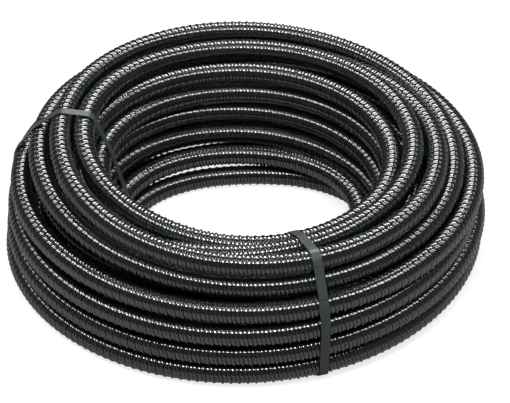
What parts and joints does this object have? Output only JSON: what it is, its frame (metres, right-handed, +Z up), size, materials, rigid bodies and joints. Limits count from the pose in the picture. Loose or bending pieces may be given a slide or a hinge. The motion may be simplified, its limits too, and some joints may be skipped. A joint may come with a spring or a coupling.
{
  "type": "spiral suction hose coil",
  "caption": "Ribbed spiral suction hose wound into a flat ring-shaped coil and tied with two flat straps.",
  "frame": {"origin": "on the floor under the middle of the coil", "axes": "+Z up, through the coil's eye; -Y toward the front strap's side; +X to the right seen from the front"},
  "size_m": [0.6533, 0.6526, 0.1892],
  "materials": {
    "hose_wall": "glossy",
    "hose_spiral": "glossy",
    "strap": "satin"
  },
  "bodies": {
    "root": {"hose_turn_01": "hose_wall", "hose_turn_02": "hose_wall", "hose_turn_03": "hose_wall", "hose_turn_04": "hose_wall", "hose_turn_05": "hose_wall", "hose_turn_06": "hose_wall", "hose_turn_07": "hose_wall", "hose_turn_08": "hose_wall", "hose_turn_09": "hose_wall", "hose_turn_10": "hose_wall", "hose_turn_11": "hose_wall", "hose_turn_12": "hose_wall", "hose_turn_13": "hose_wall", "hose_turn_14": "hose_wall", "hose_turn_15": "hose_wall", "hose_turn_16": "hose_wall", "hose_turn_17": "hose_wall", "hose_turn_18": "hose_wall", "hose_turn_19": "hose_wall", "hose_turn_20": "hose_wall", "hose_turn_21": "hose_wall", "hose_turn_22": "hose_wall", "hose_turn_23": "hose_wall", "hose_end": "hose_wall", "hose_end_spiral": "hose_spiral", "strap_front": "strap", "strap_front_lap": "strap", "strap_left": "strap", "strap_left_lap": "strap"}
  },
  "joints": []
}
